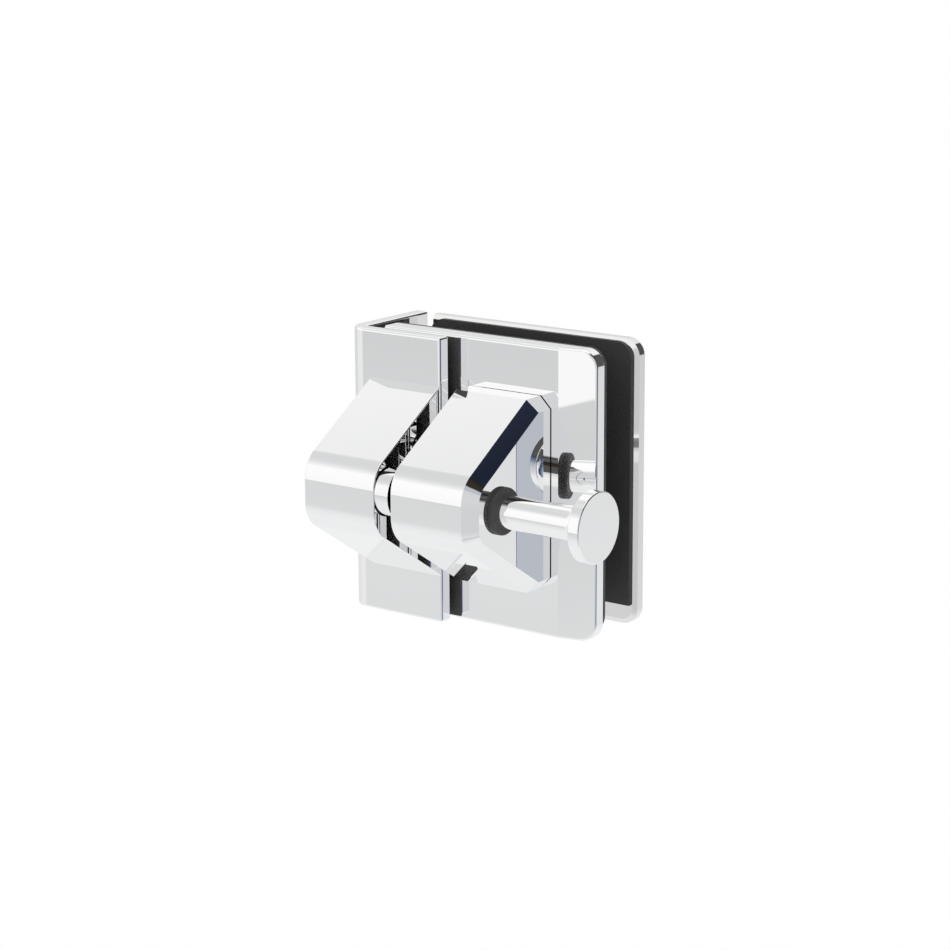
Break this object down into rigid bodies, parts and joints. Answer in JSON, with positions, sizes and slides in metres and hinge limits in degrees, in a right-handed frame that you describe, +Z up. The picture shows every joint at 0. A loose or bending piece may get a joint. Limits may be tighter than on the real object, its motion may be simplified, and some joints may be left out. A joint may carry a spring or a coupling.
{
  "type": "glass gate latch",
  "caption": "Polished latch between a wall bracket and a glass gate clamp, with a sprung round bolt pulled sideways by a mushroom knob.",
  "frame": {"origin": "on the wall face of the wall bracket, midway between its two fixing holes", "axes": "+X points away from the wall along the closed gate, +Y from the latch's front through the gate to its back, +Z up"},
  "size_m": [0.1072, 0.069, 0.09],
  "materials": {
    "polished_steel": "mirror polished",
    "black_rubber": "matte",
    "black_nylon": "moulded, matte",
    "plain_steel": "plain, turned"
  },
  "bodies": {
    "wall_half": {"wall_bracket": "polished_steel", "keeper_housing": "polished_steel", "keeper_socket": "black_nylon", "keeper_screws": "plain_steel"},
    "gate_half": {"gate_front_plate": "polished_steel", "front_gasket": "black_rubber", "gate_rear_plate": "polished_steel", "rear_gasket": "black_rubber", "clamp_screws": "plain_steel", "clamp_sleeves": "black_nylon", "closing_buffer": "black_rubber", "latch_housing": "polished_steel", "latch_screws": "plain_steel", "bolt_guide": "black_nylon", "shaft_bush": "black_nylon", "spring_washer": "plain_steel"},
    "bolt_unit": {"bolt": "polished_steel", "guide_pin": "plain_steel", "knob_shaft": "polished_steel", "knob_buffer": "black_rubber", "knob": "polished_steel", "bolt_spring": "plain_steel"}
  },
  "joints": [
    {"name": "gate_play", "type": "slide", "parent": "wall_half", "child": "gate_half", "axis": [0, 1, 0], "range_m": [-0.0008, 0.0008]},
    {"name": "bolt_pull", "type": "slide", "parent": "gate_half", "child": "bolt_unit", "axis": [1, 0, 0], "range_m": [0, 0.013], "stiffness_N_per_m": 250, "springref_m": -0.016, "deforming": ["bolt_spring"]}
  ]
}
